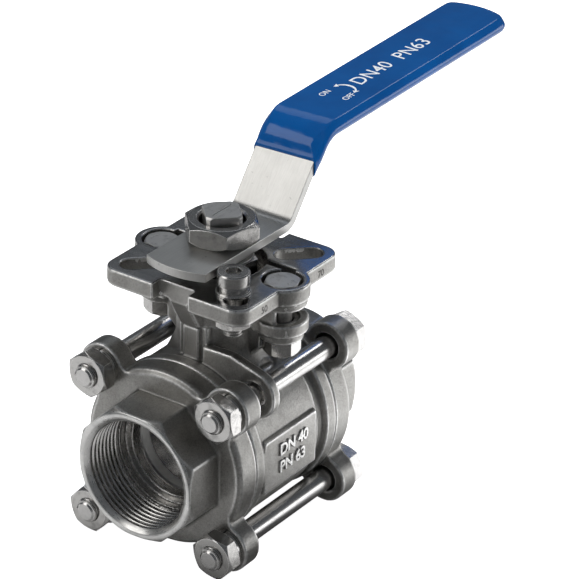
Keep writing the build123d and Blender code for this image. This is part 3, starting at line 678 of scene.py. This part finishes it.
def sleeve():
    a, b, d1, d2, t, p1, ctr, turn = sleeve_path()
    start = a + d1 * ((40.7 - GX0) / d1.x)
    run1 = (p1 - start).length
    stations = []
    for u in (0.0, 0.12, 0.4, 0.9, 1.6, 2.6, 3.8, 5.2, 6.8):
        if u < run1:
            stations.append((start + d1 * u, d1, u))
    k = 14
    for i in range(k + 1):
        w = turn * i / k
        ca, sa = math.cos(-w), math.sin(-w)
        r = p1 - ctr
        pt = ctr + Vector((r.x * ca - r.y * sa, r.x * sa + r.y * ca))
        dd = Vector((d1.x * ca - d1.y * sa, d1.x * sa + d1.y * ca))
        stations.append((pt, dd, run1 + GR * w))
    p2 = b + d2 * t
    for x in (66, 80, 95, 110, 125, 140, 155, 168.0):
        stations.append((p2 + d2 * ((x - p2.x) / d2.x), d2, run1 + GR * turn + x - p2.x))
    # half sections (y, height over the middle plane): at the rim, on the shoulder, along the grip
    rim = np.array([(11.6, 2.52), (12.6, 2.52), (13.3, 2.48), (13.8, 2.35), (14.2, 2.08), (14.45, 1.6), (14.56, 0.9),
                    (14.6, 0.0), (14.5, -1.0), (14.3, -1.8), (13.9, -2.25), (13.2, -2.46), (12.0, -2.5)])
    shoulder = np.array([(9.9, 3.50), (10.4, 3.48), (10.8, 3.42), (11.15, 3.25), (12.5, 2.70), (13.9, 2.08),
                         (14.75, 1.2), (15.15, 0.1), (15.1, -0.9), (14.7, -2.0), (13.95, -2.85), (13.0, -3.36),
                         (12.0, -3.50)])
    side = np.array([(2.75, 3.50), (2.30, 3.46), (1.95, 3.30), (1.65, 3.00), (1.15, 2.15), (0.55, 1.15), (0.15, 0.35),
                     (0.0, -0.45), (0.12, -1.25), (0.55, -2.15), (1.25, -2.90), (2.2, -3.36), (3.2, -3.50)])
    m = len(side)
    hw = 15.2
    grip = side.copy()
    grip[:, 0] = hw - side[:, 0]

    def step(u, a0, b0):
        return float(smoothstep(np.array(u), a0, b0))

    def section(u):
        """Half section at path length u: close to the strip at the rim, full a little way up."""
        e = step(u, 0.6, 7.5)
        g = step(u, 6.0, 20.0)
        pr = rim * (1 - e) + (shoulder * (1 - g) + grip * g) * e
        if u < 0.5:  # rolled edge
            k = 0.42 * (1 - math.sqrt(max(0.0, 1 - (1 - u / 0.5) ** 2)))
            pr = pr - np.sign(pr) * np.minimum(k, np.abs(pr))
        return pr

    v, faces = [], []
    rows = []
    def shift(y, h, u):
        """The dip line is upright, so near it the sections lean."""
        k = max(0.0, 1 - u / 16.0) ** 1.5
        return (1.285 * h - 0.030 * y) * k

    for pt, dd, u in stations:
        nn = Vector((-dd.y, dd.x))
        pr = section(u)
        idx = []
        for sgn in (1, -1):
            seq = range(m) if sgn > 0 else range(m - 1, -1, -1)
            for j in seq:
                y = sgn * pr[j, 0]
                q = pt + nn * pr[j, 1] + dd * shift(y, pr[j, 1], u)
                idx.append(len(v))
                v.append((q.x, y, q.y))
        rows.append(idx)
    n = 2 * m
    for r0, r1 in zip(rows, rows[1:]):
        for j in range(n):
            faces.append((r0[j], r0[(j + 1) % n], r1[(j + 1) % n], r1[j]))
    # rim face, in to the strip
    pt, dd, u = stations[0]
    nn = Vector((-dd.y, dd.x))
    strip = [(11.6, 1.66), (12.6, 1.66), (13.0, 1.66), (13.4, 1.66), (13.76, 1.66), (13.76, 1.3), (13.76, 0.7),
             (13.76, 0.0), (13.76, -0.8), (13.76, -1.66), (13.4, -1.66), (12.9, -1.66), (12.0, -1.66)]
    inner = []
    for sgn in (1, -1):
        seq = range(m) if sgn > 0 else range(m - 1, -1, -1)
        for j in seq:
            y, h = sgn * strip[j][0], strip[j][1]
            q = pt + nn * h + dd * (shift(y, h, 0) + 0.35)
            inner.append(len(v))
            v.append((q.x, y, q.y))
    for j in range(n):
        faces.append((rows[0][(j + 1) % n], rows[0][j], inner[j], inner[(j + 1) % n]))
    # tail: the side profile carried round one wide arc
    x0 = stations[-1][0].x
    z0 = stations[-1][0].y
    half = [(174.6, 15.2), (176.4, 15.02), (178.0, 14.4), (179.3, 13.35), (180.25, 11.9), (181.0, 10.0), (181.6, 7.9),
            (182.15, 5.4), (182.5, 2.8), (182.62, 0.0)]
    outline = [(171.5, 15.2)] + half + [(x, -y) for x, y in half[-2::-1]] + [(171.5, -15.2)]
    on = []
    for i, (x, y) in enumerate(outline):
        pa = outline[max(0, i - 1)]
        pb = outline[min(len(outline) - 1, i + 1)]
        tx, ty = pb[0] - pa[0], pb[1] - pa[1]
        ln = math.hypot(tx, ty)
        on.append((-ty / ln, tx / ln))
    cols = [[rows[-1][j] for j in range(m)]]
    for (x, y), (nx, ny) in zip(outline, on):
        col = []
        for j in range(m):
            d = side[j, 0]
            ox, oy = -nx * d, -ny * d
            px, py = x + ox, y + oy
            zz = z0 + (px - x0) * d2.y / d2.x + side[j, 1]
            col.append(len(v))
            v.append((px, py, zz))
        cols.append(col)
    cols.append([rows[-1][n - 1 - j] for j in range(m)])
    for c0, c1 in zip(cols, cols[1:]):
        for j in range(m - 1):
            faces.append((c0[j], c0[j + 1], c1[j + 1], c1[j]))
    faces.append(tuple(c[0] for c in cols))
    faces.append(tuple(c[m - 1] for c in cols)[::-1])
    me = bpy.data.meshes.new("lever_sleeve_dipped")
    me.from_pydata([[c * MM for c in p] for p in v], [], faces)
    bm = bmesh.new()
    bm.from_mesh(me)
    bmesh.ops.recalc_face_normals(bm, faces=bm.faces)
    bm.to_mesh(me)
    bm.free()
    o = piece("lever_sleeve_dipped", me, VINYL, "stem_and_lever")
    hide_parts(node["lever_sleeve"].name)
    return o


sleeve()

# ------------------------------------------------------------------ marks, all generic

PANEL_Y = 36.5
GRIP_X = Vector((GX2 - GX1, 0, GZ2 - GZ1)).normalized()


def on_grip(x, y, h=0.0):
    z = GZ1 + (x - GX1) * (GZ2 - GZ1) / (GX2 - GX1) + 3.5 + h
    return (x, y, z)


def grip_mark(name, text, size, x, y, spacing=1.0):
    mark(name, text, size, PRINT, on_grip(x, y), GRIP_X, (0, 1, 0), 0.05, "stem_and_lever",
         bold=0.03, spacing=spacing)


grip_mark("print_on", "ON", 3.9, 70.2, 2.6)
grip_mark("print_off", "OFF", 3.9, 72.6, -7.0)
grip_mark("print_size", "DN40  PN63", 9.2, 87.6, -3.6, 1.06)
arc = []
for i in range(13):
    w = math.radians(-58 + 116 * i / 12)
    arc.append((w, 0.30 + 0.28 * math.sin(math.pi * i / 12)))
av, af = [], []
for w, hw2 in arc:
    for r in (5.2 - hw2, 5.2 + hw2):
        av.append(on_grip(79.4 + r * math.cos(w), -0.6 + r * math.sin(w), 0.025))
for i in range(12):
    af.append((2 * i, 2 * i + 1, 2 * i + 3, 2 * i + 2))
for sgn in (-1, 1):
    w = math.radians(58 * sgn)
    k0 = len(av)
    for r, dw in ((3.9, 0.0), (6.6, 0.0), (5.0, 0.42)):
        ww = w + sgn * dw
        av.append(on_grip(79.4 + r * math.cos(ww), -0.6 + r * math.sin(ww), 0.025))
    af.append((k0, k0 + 1, k0 + 2) if sgn > 0 else (k0 + 1, k0, k0 + 2))
ame = bpy.data.meshes.new("print_arrow")
ame.from_pydata([[c * MM for c in p] for p in av], [], af)
piece("print_arrow", ame, PRINT, "stem_and_lever", smooth=False)

for s, side_name in ((-1, "front"), (1, "back")):
    rx = (1, 0, 0) if s < 0 else (-1, 0, 0)
    for text, z, nm in (("DN 40", 1.5, "size"), ("PN 63", -6.0, "rating")):
        mark("panel_" + nm + "_" + side_name, text, 6.8, CAST, (-11.6 if s < 0 else 11.6, s * PANEL_Y, z), rx,
             (0, 0, 1), 0.9, bold=0.10, soft=0.16, spacing=0.98)
    # the pad figures are thin raised letters, darkened as painted shade for stamped recesses
    for text, x, nm in (("50", -20.6, "a"), ("70", 16.6, "b")):
        mark("pad_figure_" + nm + "_" + side_name, text, 4.0, STAMP, (x if s < 0 else -x, s * 33.5, 65.9), rx,
             (0, 0, 1), 0.10, bold=0.04)
for y, tag in ((-28.6, "n"), (28.6, "p")):
    for i, w in enumerate((20, 42, 64, 86, 200, 222, 244, 266)):
        w2 = math.radians(w + 30)
        mark("bolt_tick_%s%d" % (tag, i), "I" if i % 3 else "+", 1.5, MOUTH,
             (4.2 * math.cos(w2) - 0.2, y + 4.2 * math.sin(w2) - 0.4, 70.5), (1, 0.3, 0), (-0.3, 1, 0), 0.18,
             bold=0.06)

# ------------------------------------------------------------------ studio

az, el, roll = math.radians(-55.21218), math.radians(27.54313), math.radians(1.03656)
back = Vector((math.sin(az) * math.cos(el), -math.cos(az) * math.cos(el), math.sin(el)))
right = Vector((math.cos(az), math.sin(az), 0))
up = back.cross(right)
cr, sr = math.cos(roll), math.sin(roll)
ax_x = cr * right + sr * up
ax_y = -sr * right + cr * up
eye = (27.11748 * ax_x + 50.87762 * ax_y + 1376.0357 * back) * MM
cam_data = bpy.data.cameras.new("camera")
cam = bpy.data.objects.new("camera", cam_data)
scene.collection.objects.link(cam)
cam_data.sensor_width = 36.0
cam_data.lens = 3500.478 / 579 * 36
cam_data.clip_start = 0.05
cam_data.clip_end = 20
mw = Matrix.Identity(4)
for i in range(3):
    mw[i][0], mw[i][1], mw[i][2], mw[i][3] = ax_x[i], ax_y[i], back[i], eye[i]
cam.matrix_world = mw
scene.camera = cam

floor_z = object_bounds()[0][2] - 0.0002
fm, fnt, fb = new_material("floor_white")
fb.inputs["Base Color"].default_value = (0.90, 0.90, 0.90, 1)
fb.inputs["Roughness"].default_value = 0.9
fb.inputs["Specular IOR Level"].default_value = 0.1
fb.inputs["Emission Color"].default_value = (1, 1, 1, 1)
fb.inputs["Emission Strength"].default_value = 1.0
# painted reflection: what polished metal sees of the floor is painted in, grey bands, light to the left, dark in
# front, with a bright spot
fc = fnt.nodes.new("ShaderNodeTexCoord")


def painted_band(direction, lo, hi, rot=0.0):
    mp = fnt.nodes.new("ShaderNodeVectorMath")
    mp.operation = "DOT_PRODUCT"
    fnt.links.new(fc.outputs["Object"], mp.inputs[0])
    mp.inputs[1].default_value = direction
    mr = fnt.nodes.new("ShaderNodeMapRange")
    mr.interpolation_type = "SMOOTHSTEP"
    fnt.links.new(mp.outputs["Value"], mr.inputs[0])
    mr.inputs[1].default_value = lo
    mr.inputs[2].default_value = hi
    return mr.outputs[0]


left_painted_band = math_node(fnt, "MULTIPLY", painted_band((-0.80, 0.60, 0), 0.00, 0.08),
                      math_node(fnt, "SUBTRACT", 1.0, painted_band((-0.80, -0.60, 0), 0.11, 0.16)))
spot = fnt.nodes.new("ShaderNodeVectorMath")
spot.operation = "DISTANCE"
fnt.links.new(fc.outputs["Object"], spot.inputs[0])
spot.inputs[1].default_value = (0.115, -0.115, floor_z)
spot_r = fnt.nodes.new("ShaderNodeMapRange")
spot_r.interpolation_type = "SMOOTHSTEP"
fnt.links.new(spot.outputs["Value"], spot_r.inputs[0])
spot_r.inputs[1].default_value = 0.13
spot_r.inputs[2].default_value = 0.04
tone = math_node(fnt, "ADD", math_node(fnt, "MULTIPLY", left_painted_band, 0.62),
                 math_node(fnt, "MULTIPLY", painted_band((0.95, 0.3, 0), 0.02, 0.22), 0.22))
tone = math_node(fnt, "ADD", tone, math_node(fnt, "MULTIPLY", spot_r.outputs[0], 0.85))
tone = math_node(fnt, "ADD", tone, 0.10)
dim = fnt.nodes.new("ShaderNodeBsdfDiffuse")
fnt.links.new(tone, dim.inputs[0])
# and a painted glow: a low bright band on the right, lit only in reflections
painted_glow = math_node(fnt, "MULTIPLY", painted_band((0.74, -0.67, 0), 0.04, 0.13),
                 math_node(fnt, "SUBTRACT", 1.0, painted_band((-0.67, -0.74, 0), 0.06, 0.24)))
painted_glow = math_node(fnt, "MULTIPLY", painted_glow, math_node(fnt, "SUBTRACT", 1.0, painted_band((0.67, 0.74, 0), 0.25, 0.60)))
emit = fnt.nodes.new("ShaderNodeEmission")
fnt.links.new(math_node(fnt, "MULTIPLY", painted_glow, 0.82), emit.inputs["Strength"])
both = fnt.nodes.new("ShaderNodeAddShader")
fnt.links.new(dim.outputs[0], both.inputs[0])
fnt.links.new(emit.outputs[0], both.inputs[1])
# camera and diffuse rays get the plain white floor; glossy rays get the painted reflection and glow
lp = fnt.nodes.new("ShaderNodeLightPath")
mx = fnt.nodes.new("ShaderNodeMixShader")
fnt.links.new(lp.outputs["Is Glossy Ray"], mx.inputs[0])
fnt.links.new(fb.outputs[0], mx.inputs[1])
fnt.links.new(both.outputs[0], mx.inputs[2])
fo = [n for n in fnt.nodes if n.type == "OUTPUT_MATERIAL"][0]
fnt.links.new(mx.outputs[0], fo.inputs[0])
fme = bpy.data.meshes.new("floor")
fme.from_pydata([(-4, -4, floor_z), (4, -4, floor_z), (4, 4, floor_z), (-4, 4, floor_z)], [], [(0, 1, 2, 3)])
floor = bpy.data.objects.new("floor", fme)
scene.collection.objects.link(floor)
floor.data.materials.append(fm)

world = bpy.data.worlds.new("studio")
scene.world = world
world.use_nodes = True
wn = world.node_tree
wn.nodes.clear()
wo = wn.nodes.new("ShaderNodeOutputWorld")
bg = wn.nodes.new("ShaderNodeBackground")
wn.links.new(bg.outputs[0], wo.inputs[0])
bg.inputs[0].default_value = (0.86, 0.92, 1.0, 1)
bg.inputs[1].default_value = 0.10

CENTRE = Vector((0.02, 0, 0.03))


def softbox(name, direction, dist, size, radiance, colour=(1, 1, 1), target=CENTRE, glossy=True):
    """A rectangular light; radiance is what a mirror would show of it."""
    d = Vector(direction).normalized()
    ld = bpy.data.lights.new(name, "AREA")
    ld.shape = "RECTANGLE"
    ld.size, ld.size_y = size
    ld.energy = radiance * math.pi * size[0] * size[1]
    ld.color = colour
    lo = bpy.data.objects.new(name, ld)
    scene.collection.objects.link(lo)
    lo.location = target + d * dist
    lo.rotation_euler = (-d).to_track_quat("-Z", "Y").to_euler()
    lo.visible_glossy = glossy
    return lo


softbox("key_back_left", (-0.575, 0.506, 0.643), 1.1, (0.60, 0.55), 2.0, (1.0, 0.985, 0.96))
softbox("right_front", (0.770, -0.630, 0.02), 1.0, (0.62, 0.26), 2.4, (0.99, 0.995, 1.0))
softbox("crease", (0.728, 0.02, 0.665), 1.2, (0.20, 0.20), 5.0)
softbox("left_edge", (-0.90, 0.30, 0.10), 1.1, (0.20, 0.60), 1.6)
softbox("back_right", (0.60, 0.52, 0.85), 1.2, (0.55, 0.40), 0.7, (0.90, 0.95, 1.0))
softbox("fill", (0.05, -0.1, 1.0), 1.5, (2.2, 2.2), 1.9, glossy=False)

scene.view_settings.view_transform = "Standard"
